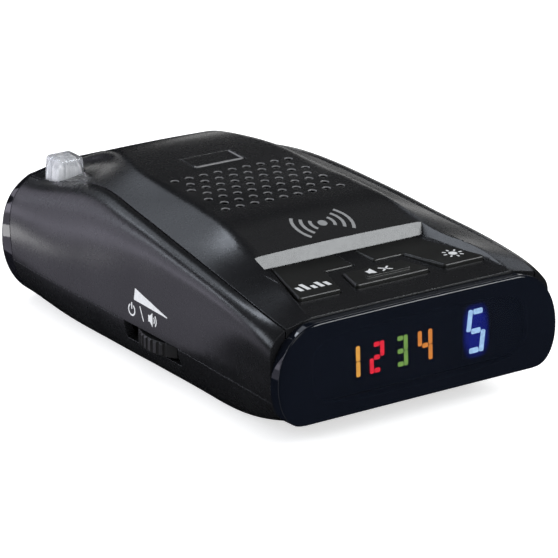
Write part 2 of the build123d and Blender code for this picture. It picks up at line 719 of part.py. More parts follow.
with BuildPart() as bracket_guide:
    add(slab((-9.6, 22.0, 28.4), (9.6, 48.4, 35)))
    add(slab((-SLOT_HALF - 0.1, 20, SLOT_BOTTOM_Z - 0.1), (SLOT_HALF + 0.1, 50, 36)), mode=Mode.SUBTRACT)
    add(slab((-3.5, 20, 28), (3.5, 27.6, 36)), mode=Mode.SUBTRACT)
    add(lip_space.part, mode=Mode.INTERSECT)
save(bracket_guide.part, "bracket_guide")

# ---------------------------------------------------------------- speaker
with BuildPart() as speaker_frame:
    top = SPEAKER_TOP_Z
    with BuildSketch(Plane.XZ):
        with BuildLine():
            Polyline(
                (SPEAKER_RADIUS, top),
                (13.3, top),
                (13.3, top - 1.4),
                (8.4, top - 5.0),
                (4.2, top - 5.0),
                (4.2, top - 5.7),
                (9.0, top - 5.7),
                (14.2, top - 1.9),
                (SPEAKER_RADIUS, top - 1.2),
                close=True,
            )
        make_face()
    revolve(axis=Axis.Z)
    add(slab((-5.5, -15.2, top - 3.7), (5.5, -10.6, top - 2.9)))
speaker_frame_part = Pos(0, GRILLE_Y, 0) * speaker_frame.part
save(speaker_frame_part, "speaker_frame")

with BuildPart() as speaker_cone:
    with BuildSketch(Plane.XZ):
        with BuildLine():
            Polyline(
                (0, top - 2.6),
                (2.4, top - 2.9),
                (4.0, top - 3.9),
                (4.0, top - 4.4),
                (12.2, top - 0.8),
                (13.2, top - 1.2),
                (13.2, top - 0.6),
                (12.3, top - 0.3),
                (4.4, top - 3.2),
                (2.6, top - 2.4),
                (0, top - 2.1),
                close=True,
            )
        make_face()
    revolve(axis=Axis.Z)
save(Pos(0, GRILLE_Y, 0) * speaker_cone.part, "speaker_cone")

with BuildPart() as speaker_magnet:
    with BuildSketch(Plane.XY.offset(top - 9.0)):
        with Locations((0, GRILLE_Y)):
            Circle(8.2)
    extrude(amount=3.3)
save(speaker_magnet.part, "speaker_magnet")

with BuildPart() as speaker_gasket:
    with BuildSketch(Plane.XY.offset(top)):
        with Locations((0, GRILLE_Y)):
            Circle(SPEAKER_RADIUS - 0.1)
            Circle(13.4, mode=Mode.SUBTRACT)
    extrude(amount=3.0)
    add(lip_space.part, mode=Mode.INTERSECT)
save(speaker_gasket.part, "speaker_gasket")

with BuildPart() as speaker_wires:
    for x in (-3.0, 3.0):
        with BuildLine() as run:
            Spline(
                (x, -9.4, top - 3.7),
                (x, -12.8, 21.0),
                (x, -14.2, MAIN_BOARD_Z + BOARD_THICKNESS),
                tangents=[(0, 0, -1), (0, 0, -1)],
            )
        with BuildSketch(Plane(origin=run.line @ 0, z_dir=run.line % 0)):
            Circle(0.5)
        sweep()
save(speaker_wires.part, "speaker_wires")

# ---------------------------------------------------------------- radar horn and its board
HORN_MIDDLE_Z = 12.45
with BuildPart() as horn_block:
    with BuildSketch(Plane.XY.offset(2.9)):
        with BuildLine():
            Polyline((-10.5, 12), (-16.5, 38), (-16.5, 48), (16.5, 48), (16.5, 38), (10.5, 12), close=True)
        make_face()
    extrude(amount=19.1)
    for y in (14.0, 42.6):
        reach = 16.2 if y < 20 else 20.6
        add(slab((-reach, y, HORN_MIDDLE_Z - 2.4), (reach, y + 5, HORN_MIDDLE_Z + 2.4)))
    with BuildSketch(Plane.XZ.offset(-18.0)):
        with Locations((0, HORN_MIDDLE_Z)):
            Rectangle(11, 5)
    with BuildSketch(Plane.XZ.offset(-48.1)):
        with Locations((0, HORN_MIDDLE_Z)):
            Rectangle(30, 16)
    loft(mode=Mode.SUBTRACT)
    add(slab((-5.5, 14, HORN_MIDDLE_Z - 2.5), (5.5, 18.1, HORN_MIDDLE_Z + 2.5)), mode=Mode.SUBTRACT)

horn_screw_sites = [(-14.2, 16.5), (14.2, 16.5), (-18.6, 45.1), (18.6, 45.1)]
with BuildPart() as horn_lower:
    add(horn_block.part)
    add(slab((-40, 0, 0), (40, 60, HORN_MIDDLE_Z)), mode=Mode.INTERSECT)
    with Locations((-8, 15, 2.4), (8, 15, 2.4), (-13, 45, 2.4), (13, 45, 2.4)):
        Box(4, 4, 1.1)
    with Locations(*[(x, y, HORN_MIDDLE_Z) for x, y in horn_screw_sites]):
        Hole(0.95)
save(horn_lower.part, "horn_lower")

with BuildPart() as horn_upper:
    add(horn_block.part)
    add(slab((-40, 0, HORN_MIDDLE_Z), (40, 60, 40)), mode=Mode.INTERSECT)
    with Locations(*[(x, y, HORN_MIDDLE_Z) for x, y in horn_screw_sites]):
        Hole(1.05)
save(horn_upper.part, "horn_upper")

with BuildPart() as horn_screws:
    for x, y in horn_screw_sites:
        with Locations((x, y, HORN_MIDDLE_Z + 2.4)):
            Cylinder(1.8, 1.1, align=(Align.CENTER, Align.CENTER, Align.MIN))
            Cylinder(0.9, 4.6, align=(Align.CENTER, Align.CENTER, Align.MAX))
save(horn_screws.part, "horn_screws")

with BuildPart() as rf_board:
    add(slab((-9.5, 14.0, 22.0), (9.5, 41.5, 23.2)))
save(rf_board.part, "rf_board")

with BuildPart() as rf_shield:
    add(slab((-8.0, 16.5, 23.2), (8.0, 34.0, 25.4)))
    add(slab((-7.6, 16.9, 23.0), (7.6, 33.6, 25.0)), mode=Mode.SUBTRACT)
save(rf_shield.part, "rf_shield")

with BuildPart() as rf_ribbon:
    with BuildSketch(Plane.YZ):
        with BuildLine():
            Polyline((15.8, 23.45), (13.6, 23.45), (12.3, 22.9), (10.9, 21.8), (3.8, 14.9), (2.6, 14.45))
        trace(line_width=0.4)
    extrude(amount=4.0, both=True)
save(rf_ribbon.part, "rf_ribbon")

with BuildPart() as laser_sensor:
    add(slab((-3.6, 45.6, 22.1), (3.6, 47.2, 27.4)))
    with Locations(Location((0, 47.2, 24.8), (-90, 0, 0))):
        Cylinder(2.1, 1.0, align=(Align.CENTER, Align.CENTER, Align.MIN))
    with Locations((0, 48.2, 24.8)):
        Sphere(1.8)
save(laser_sensor.part, "laser_sensor")

# ---------------------------------------------------------------- rear sensor lens
with BuildPart() as sensor_lens:
    with BuildSketch(Plane.XY.offset(LENS_BOTTOM_Z)):
        with Locations((LENS_X, LENS_Y)):
            RectangleRounded(LENS_WIDTH, LENS_DEPTH, LENS_CORNER)
    extrude(amount=LENS_TOP_Z - LENS_BOTTOM_Z, taper=LENS_DRAFT)
    fillet(sensor_lens.faces().sort_by(Axis.Z)[-1].edges(), 0.8)
save(sensor_lens.part, "sensor_lens")

with BuildPart() as sensor_board:
    add(slab((LENS_X - 2.0, LENS_Y - 3.2, 24.6), (LENS_X + 3.2, LENS_Y + 1.6, 25.6)))
    with Locations((LENS_X + 0.2, LENS_Y - 0.8, 25.6)):
        Cylinder(1.5, 1.1, align=(Align.CENTER, Align.CENTER, Align.MIN))
save(sensor_board.part, "sensor_board")

# ---------------------------------------------------------------- main board and what it carries
board_top = MAIN_BOARD_Z + BOARD_THICKNESS
with BuildPart() as main_board:
    add(slab((-29.5, -47.9, MAIN_BOARD_Z), (29.5, 6.0, board_top)))
    with Locations(*[(x, y, board_top) for x, y in BOSSES if y < 0]):
        Hole(1.5)
save(main_board.part, "main_board")

with BuildPart() as microcontroller:
    add(slab((-17.0, -13.0, board_top), (-7.0, -3.0, board_top + 1.4)))
    chamfer(microcontroller.faces().sort_by(Axis.Z)[-1].edges(), 0.3)
save(microcontroller.part, "microcontroller")

with BuildPart() as capacitors:
    for y in (-10.5, -4.0, 2.5):
        with Locations((15.0, y, board_top)):
            Cylinder(2.5, 6.3, align=(Align.CENTER, Align.CENTER, Align.MIN))
save(capacitors.part, "capacitors")

with BuildPart() as power_jack:
    add(slab((18.5, JACK_Y - 4.0, 4.4), (27.8, JACK_Y + 4.0, MAIN_BOARD_Z)))
    with BuildSketch(Plane.YZ.offset(27.8)):
        with Locations((JACK_Y, JACK_Z)):
            Circle(JACK_NOSE_RADIUS)
    extrude(amount=5.2)
    with BuildSketch(Plane.YZ.offset(33.0)):
        with Locations((JACK_Y, JACK_Z)):
            Circle(JACK_BORE_RADIUS)
    extrude(amount=-JACK_DEPTH, mode=Mode.SUBTRACT)
save(power_jack.part, "power_jack")

# ---------------------------------------------------------------- fasteners and rating plate
with BuildPart() as case_screws:
    for x, y in BOSSES:
        with Locations((x, y, 5.0)):
            Cylinder(2.5, 1.8, align=(Align.CENTER, Align.CENTER, Align.MAX))
            Cylinder(1.15, 15.0, align=(Align.CENTER, Align.CENTER, Align.MIN))
        with Locations((x, y, 3.2)):
            Box(2.8, 0.6, 1.6, mode=Mode.SUBTRACT)
            Box(0.6, 2.8, 1.6, mode=Mode.SUBTRACT)
save(case_screws.part, "case_screws")

with BuildPart() as board_screws:
    for x, y in KEY_POSTS:
        with Locations((x, y, KEY_BOARD_Z)):
            Cylinder(1.6, 1.1, align=(Align.CENTER, Align.CENTER, Align.MAX))
            Cylinder(0.8, 5.0, align=(Align.CENTER, Align.CENTER, Align.MIN))
save(board_screws.part, "board_screws")

with BuildPart() as rating_plate:
    with BuildSketch(Plane.XY.offset(0.1)):
        with Locations((0, 17)):
            RectangleRounded(27.8, 25.8, 1.0)
    extrude(amount=0.25)
save(rating_plate.part, "rating_plate")
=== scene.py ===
import json
import math

import bpy
from mathutils import Matrix, Vector
from mathutils.bvhtree import BVHTree


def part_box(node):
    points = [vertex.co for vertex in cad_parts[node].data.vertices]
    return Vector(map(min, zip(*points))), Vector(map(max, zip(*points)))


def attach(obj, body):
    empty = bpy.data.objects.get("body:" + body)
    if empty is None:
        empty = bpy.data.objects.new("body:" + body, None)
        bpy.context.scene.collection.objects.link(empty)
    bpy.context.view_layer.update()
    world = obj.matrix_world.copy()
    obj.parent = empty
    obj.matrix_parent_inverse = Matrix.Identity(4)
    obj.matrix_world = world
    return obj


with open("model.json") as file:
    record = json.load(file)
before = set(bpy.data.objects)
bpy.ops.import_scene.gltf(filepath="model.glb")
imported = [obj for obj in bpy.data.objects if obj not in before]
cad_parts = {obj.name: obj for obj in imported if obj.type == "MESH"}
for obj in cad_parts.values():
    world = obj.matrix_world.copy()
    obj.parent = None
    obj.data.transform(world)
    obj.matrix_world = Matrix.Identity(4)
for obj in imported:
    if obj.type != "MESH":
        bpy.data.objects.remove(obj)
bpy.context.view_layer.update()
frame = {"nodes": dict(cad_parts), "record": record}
nodes = frame["nodes"]

# Radar detector.  Lengths are in metres, or in millimetres where a comment says so or the code
# multiplies by MM.
MM = 0.001

# Printed legends and symbols, millimetres
INK_ABOVE = 0.035  # how far the ink stands above the plastic
INK_BELOW = 0.03  # how far it reaches into it, so that no edge floats
STRIP_STEP = 0.35  # longest piece of a stroke before it follows the surface again

# Display, metres
digit_low, digit_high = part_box("digit_lit")
digit_middle = (digit_low + digit_high) / 2
band_low, band_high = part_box("band_lights")
GLOW_HALF = (0.0030, 0.0052)  # how far the digit's blue glow reaches in x and z
CLEAR_HALF = (0.0275, 0.0078)  # how far the window's unprinted middle reaches in x and z
CLEAR_MIDDLE_Z = 0.0170

# The colour sockets of a Mix node
MIX_A, MIX_B, MIX_RESULT = 6, 7, 2


# ---------------------------------------------------------------- materials
class Shader:
    """A node material with short calls for the nodes used here.  Lengths are in metres."""

    def __init__(self, name):
        self.material = bpy.data.materials.new(name)
        self.material.use_nodes = True
        self.tree = self.material.node_tree
        self.tree.nodes.clear()
        self.where = self.add("ShaderNodeTexCoord").outputs["Object"]

    def add(self, kind, settings=None, **inputs):
        node = self.tree.nodes.new(kind)
        for key, value in (settings or {}).items():
            setattr(node, key, value)
        for key, value in inputs.items():
            self.put(node.inputs[key.replace("_", " ")], value)
        return node

    def put(self, socket, value):
        if isinstance(value, bpy.types.NodeSocket):
            self.tree.links.new(value, socket)
        else:
            socket.default_value = value

    def math(self, operation, *values):
        node = self.add("ShaderNodeMath", {"operation": operation})
        for socket, value in zip(node.inputs, values):
            self.put(socket, value)
        return node.outputs[0]

    def noise(self, size, detail=3.0, stretch=(1, 1, 1), rough=0.55):
        """Smooth noise whose blobs are about size metres across."""
        place = self.add("ShaderNodeMapping", Vector=self.where, Scale=stretch)
        node = self.add("ShaderNodeTexNoise", Vector=place.outputs[0], Scale=1 / size,
                        Detail=detail, Roughness=rough)
        return node.outputs["Fac"]

    def spread(self, value, low, high, start=0.3, end=0.7):
        """value's run from start to end, mapped to low to high."""
        node = self.add("ShaderNodeMapRange", Value=value)
        ends = (("From Min", start), ("From Max", end), ("To Min", low), ("To Max", high))
        for name, number in ends:
            self.put(node.inputs[name], number)
        return node.outputs["Result"]

    def mix(self, factor, a, b):
        """A colour that runs from a to b.  Each is a colour or a socket."""
        node = self.add("ShaderNodeMix", {"data_type": "RGBA"})
        self.put(node.inputs["Factor"], factor)
        self.put(node.inputs[MIX_A], (*a, 1) if isinstance(a, tuple) else a)
        self.put(node.inputs[MIX_B], (*b, 1) if isinstance(b, tuple) else b)
        return node.outputs[MIX_RESULT]

    def edge(self, radius):
        """(a normal rounded over radius metres at edges, how much of an edge a point is)."""
        soft = self.add("ShaderNodeBevel", {"samples": 6}, Radius=radius).outputs[0]
        flat = self.add("ShaderNodeNewGeometry").outputs["Normal"]
        dot = self.add("ShaderNodeVectorMath", {"operation": "DOT_PRODUCT"})
        self.put(dot.inputs[0], soft)
        self.put(dot.inputs[1], flat)
        return soft, self.spread(dot.outputs["Value"], 1.0, 0.0, 0.75, 0.995)

    def bump(self, height, distance, strength, normal=None):
        node = self.add("ShaderNodeBump", Height=height, Distance=distance, Strength=strength)
        if normal is not None:
            self.put(node.inputs["Normal"], normal)
        return node.outputs[0]

    def principled(self, **inputs):
        return self.add("ShaderNodeBsdfPrincipled", **inputs).outputs[0]

    def done(self, shader):
        self.add("ShaderNodeOutputMaterial", Surface=shader)
        return self.material


def shade(color, factor):
    return tuple(min(1.0, c * factor) for c in color)


def moulded(name, color, rough, grain=0.00022, depth=0.000012, edge=0.00018, edge_highlight=2.6,
            edge_highlight_share=0.5):
    """Moulded plastic: a fine eroded grain, patches of shine, and a painted highlight on its
    edges.

    grain, depth and edge are in metres.  edge_highlight is how many times lighter the painted edge
    highlight is, and edge_highlight_share is how far the edges come to that.
    """
    s = Shader(name)
    normal, at_edge = s.edge(edge)
    patches = s.noise(0.014, 4)
    tint = s.mix(s.spread(patches, 0, 1), shade(color, 0.86), shade(color, 1.16))
    specks = s.spread(s.noise(0.0006, 2), 0, 1, 0.70, 0.78)
    tint = s.mix(s.math("MULTIPLY", specks, 0.10), tint, shade(color, 1.8))
    # Painted highlight: the edges are made lighter than the plastic's own colour
    tint = s.mix(s.math("MULTIPLY", at_edge, edge_highlight_share), tint, shade(color, edge_highlight))
    shine = s.math("ADD", s.spread(patches, rough * 0.96, rough * 1.04),
                   s.spread(s.noise(0.0016, 3), -0.012, 0.012))
    shine = s.math("SUBTRACT", shine, s.math("MULTIPLY", at_edge, 0.1))
    normal = s.bump(s.noise(grain, 2, rough=0.7), depth, 0.2, normal)
    return s.done(s.principled(Base_Color=tint, Roughness=shine, Normal=normal, IOR=1.5))


def glossy(name, color, rough=0.06):
    """Polished plastic with a faint orange peel and hairline wiping marks."""
    s = Shader(name)
    normal, at_edge = s.edge(0.0002)
    hairs = s.spread(s.noise(0.0009, 5, (1, 14, 14)), 0, 1, 0.62, 0.72)
    tint = s.mix(s.spread(s.noise(0.02), 0, 1), shade(color, 0.85), shade(color, 1.2))
    # Painted highlight: the edges are made lighter than the plastic's own colour
    tint = s.mix(s.math("MULTIPLY", at_edge, 0.3), tint, shade(color, 2.0))
    shine = s.math("ADD", s.spread(s.noise(0.009, 4), rough * 0.7, rough * 1.4),
                   s.math("MULTIPLY", hairs, 0.05))
    normal = s.bump(s.noise(0.004, 1), 0.00003, 0.12, normal)
    return s.done(s.principled(Base_Color=tint, Roughness=shine, Normal=normal, IOR=1.49))


def metal(name, color, rough, stretch=(1, 1, 1), size=0.0006):
    """Plated or cast metal: brushed or sandy, with darker hollows."""
    s = Shader(name)
    normal, at_edge = s.edge(0.00015)
    grain = s.noise(size, 4, stretch)
    tint = s.mix(s.spread(grain, 0, 1), shade(color, 0.8), shade(color, 1.12))
    # Painted highlight: the edges are made lighter than the metal's own colour
    tint = s.mix(s.math("MULTIPLY", at_edge, 0.6), tint, shade(color, 1.35))
    shine = s.spread(s.noise(0.006, 4), rough * 0.8, rough * 1.25)
    normal = s.bump(grain, 0.00002, 0.3, normal)
    return s.done(s.principled(Base_Color=tint, Roughness=shine, Metallic=1.0, Normal=normal))


def circuit_board(name, color, face):
    """Solder mask over copper: faint traces on a grid and pale pads."""
    s = Shader(name)
    flat = {"z": (1, 1, 0), "y": (1, 0, 1)}[face]
    place = s.add("ShaderNodeMapping", Vector=s.where, Scale=flat)
    cells = s.add("ShaderNodeTexVoronoi", {"distance": "MANHATTAN", "feature": "DISTANCE_TO_EDGE"},
                  Vector=place.outputs[0], Scale=1 / 0.0045)
    trace = s.spread(cells.outputs["Distance"], 1, 0, 0.03, 0.09)
    dots = s.add("ShaderNodeTexVoronoi", Vector=place.outputs[0], Scale=1 / 0.006)
    pad = s.spread(dots.outputs["Distance"], 1, 0, 0.11, 0.13)
    tint = s.mix(s.math("MULTIPLY", trace, 0.6), color, shade(color, 2.2))
    tint = s.mix(pad, tint, (0.72, 0.7, 0.62))
    normal = s.bump(trace, 0.00004, 0.4)
    return s.done(s.principled(Base_Color=tint, Roughness=s.spread(s.noise(0.004), 0.25, 0.4),
                               Metallic=s.math("MULTIPLY", pad, 0.8), Normal=normal))


def digit_glow(s):
    """How near a point is to the lit digit, 1 on it, falling to 0 a few millimetres away."""
    split = s.add("ShaderNodeSeparateXYZ", Vector=s.where)
    across = s.math("DIVIDE", s.math("SUBTRACT", split.outputs["X"], digit_middle.x), GLOW_HALF[0])
    up = s.math("DIVIDE", s.math("SUBTRACT", split.outputs["Z"], digit_middle.z), GLOW_HALF[1])
    square = s.math("ADD", s.math("POWER", s.math("ABSOLUTE", across), 3.0),
                    s.math("POWER", s.math("ABSOLUTE", up), 3.0))
    near = s.spread(square, 1, 0, 0.5, 2.0)
    return s.math("MULTIPLY", near, near)


def black_backing(name, color, rough, glow_strength):
    """The black mask and the digit's housing, with a painted glow of the digit's blue light over
    them.
    """
    s = Shader(name)
    glow = s.math("MULTIPLY", digit_glow(s), s.spread(s.noise(0.0015), 0.85, 1.1))
    tint = s.mix(s.spread(s.noise(0.003), 0, 1), shade(color, 0.8), shade(color, 1.2))
    return s.done(s.principled(Base_Color=tint, Roughness=rough,
                               Emission_Color=(0.02, 0.035, 0.55, 1),
                               Emission_Strength=s.math("MULTIPLY", glow, glow_strength),
                               Normal=s.bump(s.noise(0.0004, 2), 0.00002, 0.3)))


def lit(name, color, strength, softer=0.75):
    """A lit segment: even light through a slightly grainy diffuser."""
    s = Shader(name)
    grain = s.noise(0.0007, 3)
    tint = s.mix(s.spread(grain, 0, 1), shade(color, softer), color)
    return s.done(s.principled(Base_Color=shade(color, 0.5) + (1,), Roughness=0.4,
                               Emission_Color=tint,
                               Emission_Strength=s.spread(grain, strength * 0.9, strength * 1.08)))


def lit_numerals(name, colors, strength):
    """Light guide blocks whose numerals each have their own colour across the display."""
    s = Shader(name)
    x = s.add("ShaderNodeSeparateXYZ", Vector=s.where).outputs["X"]
    tint = colors[0]
    for i, color in enumerate(colors[1:], 1):
        split = band_low.x + (band_high.x - band_low.x) * i / len(colors)
        tint = s.mix(s.math("GREATER_THAN", x, split), tint, color)
    grain = s.spread(s.noise(0.0008, 3), strength * 0.82, strength * 1.1)
    return s.done(s.principled(Base_Color=(0.3, 0.3, 0.3, 1), Roughness=0.4, Emission_Color=tint,
                               Emission_Strength=grain))


def smoked_window(name):
    """Smoked acrylic with a black-printed border: lets the lit segments through its middle."""
    s = Shader(name)
    split = s.add("ShaderNodeSeparateXYZ", Vector=s.where)
    across = s.math("ABSOLUTE", s.math("DIVIDE", split.outputs["X"], CLEAR_HALF[0]))
    height = s.math("SUBTRACT", split.outputs["Z"], CLEAR_MIDDLE_Z)
    up = s.math("ABSOLUTE", s.math("DIVIDE", height, CLEAR_HALF[1]))
    reach = s.math("ADD", s.math("POWER", across, 4.0), s.math("POWER", up, 4.0))
    see_through = s.spread(reach, 0.5, 0.0, 0.85, 1.0)
    clear = s.add("ShaderNodeBsdfTransparent", Color=(0.72, 0.74, 0.8, 1)).outputs[0]
    haze = s.mix(s.spread(s.noise(0.012, 4), 0, 1), (0.0036, 0.0046, 0.0076),
                 (0.0041, 0.0052, 0.0086))
    # Half of the haze is lost where the window is clear, so it is denser there
    denser = s.add("ShaderNodeVectorMath", {"operation": "SCALE"}, Scale=1.75)
    s.put(denser.inputs[0], haze)
    haze = s.mix(s.math("MULTIPLY", see_through, 2.0), haze, denser.outputs[0])
    body = s.add("ShaderNodeBsdfDiffuse", Color=haze).outputs[0]
    inside = s.add("ShaderNodeMixShader", Fac=see_through)
    s.put(inside.inputs[1], body)
    s.put(inside.inputs[2], clear)
    normal = s.bump(s.noise(0.006, 2), 0.00004, 0.06, s.edge(0.0002)[0])
    shine = s.spread(s.noise(0.01, 4), 0.03, 0.06)
    gloss = s.add("ShaderNodeBsdfGlossy", Roughness=shine, Normal=normal).outputs[0]
    outer = s.math("SUBTRACT", 1.0, s.add("ShaderNodeNewGeometry").outputs["Backfacing"])
    fresnel = s.add("ShaderNodeFresnel", IOR=1.49, Normal=normal).outputs[0]
    both = s.add("ShaderNodeMixShader", Fac=s.math("MULTIPLY", fresnel, outer))
    s.put(both.inputs[1], inside.outputs[0])
    s.put(both.inputs[2], gloss)
    return s.done(both.outputs[0])


def clear_lens(name):
    """Clear polycarbonate with faint flow lines."""
    s = Shader(name)
    flow = s.noise(0.0012, 2, (1, 1, 0.12))
    normal = s.bump(flow, 0.00030, 0.30, s.edge(0.0003)[0])
    return s.done(s.principled(Base_Color=(0.96, 0.97, 1.0, 1),
                               Roughness=s.spread(flow, 0.02, 0.10),
                               Transmission_Weight=0.9, IOR=1.5, Normal=normal))


def frosted_core(name):
    """The lens's moulded prism: frosted, with painted bright and grey columns that stand for
    streaks of light and shade.
    """
    s = Shader(name)
    columns = s.noise(0.0013, 3, (1, 1, 0.08))
    # Painted streaks of light and shade: columns from grey to white
    tint = s.mix(s.spread(columns, 0, 1, 0.38, 0.62), (0.42, 0.43, 0.45), (1.0, 1.0, 1.0))
    return s.done(s.principled(Base_Color=tint, Roughness=s.spread(columns, 0.35, 0.2),
                               Normal=s.bump(columns, 0.0002, 0.5)))


def ink(name, color):
    """Pad-printed ink: slightly uneven cover and a dull skin."""
    s = Shader(name)
    cover = s.noise(0.0005, 4)
    tint = s.mix(s.spread(cover, 0, 1), shade(color, 0.86), color)
    return s.done(s.principled(Base_Color=tint, Roughness=s.spread(cover, 0.45, 0.6),
                               Normal=s.bump(cover, 0.00002, 0.2)))


def woven(name, color):
    """Pressed paper or foam: fibres and small pits."""
    s = Shader(name)
    fibre = s.noise(0.0005, 5, (1, 6, 1))
    tint = s.mix(s.spread(fibre, 0, 1), shade(color, 0.7), shade(color, 1.4))
    return s.done(s.principled(Base_Color=tint, Roughness=0.9, Normal=s.bump(fibre, 0.00006, 0.6)))


def wheel_plastic(name, color):
    """The thumbwheel: matte plastic with a painted highlight on the edges of its ribs."""
    s = Shader(name)
    normal, at_edge = s.edge(0.0001)
    # Painted highlight: the rib edges are made three times lighter
    tint = s.mix(at_edge, color, shade(color, 3.0))
    tint = s.mix(s.spread(s.noise(0.0008), 0, 1), tint, shade(color, 0.8))
    return s.done(s.principled(Base_Color=tint, Roughness=s.spread(s.noise(0.002), 0.3, 0.42),
                               Normal=s.bump(s.noise(0.00025, 2), 0.00001, 0.3, normal)))


BLACK = (0.0076, 0.0078, 0.0088)
BAND_COLORS = [(0.90, 0.40, 0.05), (0.95, 0.015, 0.03), (0.20, 0.36, 0.06), (0.80, 0.25, 0.03)]
materials = {
    "satin_black": moulded("satin_black", BLACK, 0.27, edge_highlight=4.0, edge_highlight_share=0.9),
    "key_black": moulded("key_black", (0.0110, 0.0112, 0.0106), 0.33, edge_highlight=7.0, edge_highlight_share=1.0),
    "gloss_black": glossy("gloss_black", (0.006, 0.006, 0.008)),
    "smoked": smoked_window("smoked"),
    "mask_black": black_backing("mask_black", (0.004, 0.0045, 0.006), 0.5, 0.9),
    "module_black": black_backing("module_black", (0.006, 0.006, 0.008), 0.4, 2.0),
    "cyan_light": lit("cyan_light", (0.50, 0.74, 0.95), 6.2),
    "dark_segment": black_backing("dark_segment", (0.01, 0.012, 0.03), 0.3, 1.6),
    "band_light": lit_numerals("band_light", BAND_COLORS, 6.3),
    "clear": clear_lens("clear"),
    "board_green": circuit_board("board_green", (0.01, 0.09, 0.035), "z"),
    "chip": moulded("chip", (0.018, 0.018, 0.018), 0.55),
    "led_chip": glossy("led_chip", (0.75, 0.72, 0.6), 0.2),
    "header": moulded("header", (0.014, 0.014, 0.014), 0.5),
    "switch": moulded("switch", (0.03, 0.03, 0.03), 0.4),
    "plunger": moulded("plunger", (0.62, 0.62, 0.58), 0.45),
    "wheel_black": wheel_plastic("wheel_black", (0.014, 0.014, 0.015)),
    "steel": metal("steel", (0.56, 0.56, 0.57), 0.28, (1, 8, 1)),
    "zinc": metal("zinc", (0.5, 0.5, 0.52), 0.48, size=0.0009),
    "tin": metal("tin", (0.68, 0.67, 0.64), 0.32, (10, 1, 1)),
    "cone": woven("cone", (0.03, 0.03, 0.03)),
    "foam": woven("foam", (0.02, 0.02, 0.022)),
    "wire": moulded("wire", (0.4, 0.02, 0.02), 0.4),
    "ribbon": glossy("ribbon", (0.6, 0.6, 0.6), 0.3),
    "capacitor": glossy("capacitor", (0.05, 0.07, 0.2), 0.25),
    "label": metal("label", (0.42, 0.43, 0.44), 0.36, (1, 26, 1), 0.0008),
    "sensor": glossy("sensor", (0.04, 0.006, 0.012), 0.12),
}
slot_of = {row["node"]: row["material_slot"] for row in frame["record"]["subparts"]}
for node_name, thing in nodes.items():
    for slot in thing.material_slots:
        slot.material = materials[slot_of[node_name]]


# ---------------------------------------------------------------- building blocks
def mesh_piece(name, points, faces, body, material, smooth=True):
    """A mesh that rides on a body."""
    mesh = bpy.data.meshes.new(name)
    mesh.from_pydata(points, [], faces)
    mesh.validate()
    if smooth:
        mesh.polygons.foreach_set("use_smooth", [True] * len(mesh.polygons))
    thing = bpy.data.objects.new(name, mesh)
    bpy.context.collection.objects.link(thing)
    mesh.materials.append(material)
    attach(thing, body)
    return thing


def surface_tree(node_name):
    """A node's surface, ready to be hit by rays."""
    mesh = nodes[node_name].data
    corners = [v.co for v in mesh.vertices]
    return BVHTree.FromPolygons(corners, [p.vertices for p in mesh.polygons])


def surface_from(node_name, direction, start):
    """A function that drops a point of a plane on a node's surface, seen along direction.

    The plane is y and z for a direction along x, and x and y otherwise.  start is where the
    rays begin, on the third axis.
    """
    tree = surface_tree(node_name)
    ray = Vector(direction)

    def land(u, v):
        origin = Vector((start, u, v) if ray.x else (u, v, start)) * MM
        point, normal = tree.ray_cast(origin, ray)[:2]
        return point, (normal if normal.dot(ray) < 0 else -normal)

    return land


def on_level(z):
    """A function that puts a point of the plan at height z."""
    return lambda u, v: (Vector((u, v, z)) * MM, Vector((0, 0, 1)))


# ---------------------------------------------------------------- printed marks
ARC_STEP, ARC_FEWEST = 10, 6  # degrees for a piece of an arc, and the fewest pieces it has
DISC_STEPS = 16


def line(a, b, width):
    """A straight stroke as pairs of edge points."""
    a, b = Vector(a), Vector(b)
    along = b - a
    side = Vector((-along.y, along.x)).normalized() * width / 2
    count = max(1, math.ceil(along.length / STRIP_STEP))
    return [(a + along * i / count + side, a + along * i / count - side) for i in range(count + 1)]


def arc(center, radius, start, end, width):
    """A curved stroke from angle start to end, degrees."""
    center = Vector(center)
    count = max(ARC_FEWEST, math.ceil(abs(end - start) / ARC_STEP))
    pairs = []
    for i in range(count + 1):
        angle = math.radians(start + (end - start) * i / count)
        ray = Vector((math.cos(angle), math.sin(angle)))
        pairs.append((center + ray * (radius + width / 2), center + ray * (radius - width / 2)))
    return pairs


def disc(center, radius):
    """A filled circle as a strip of chords."""
    center = Vector(center)
    pairs = []
    for i in range(DISC_STEPS + 1):
        angle = math.pi * (0.02 + 0.96 * i / DISC_STEPS)
        x, y = -math.cos(angle) * radius, math.sin(angle) * radius
        pairs.append((center + Vector((x, y)), center + Vector((x, -y))))
    return pairs


def wedge(low, high, start, end):
    """A filled four-sided shape between two lines: low runs start to end, high likewise."""
    a, b, c, d = Vector(low), Vector(high), Vector(start), Vector(end)
    count = max(2, math.ceil((c - a).length / STRIP_STEP))
    return [(b.lerp(d, i / count), a.lerp(c, i / count)) for i in range(count + 1)]


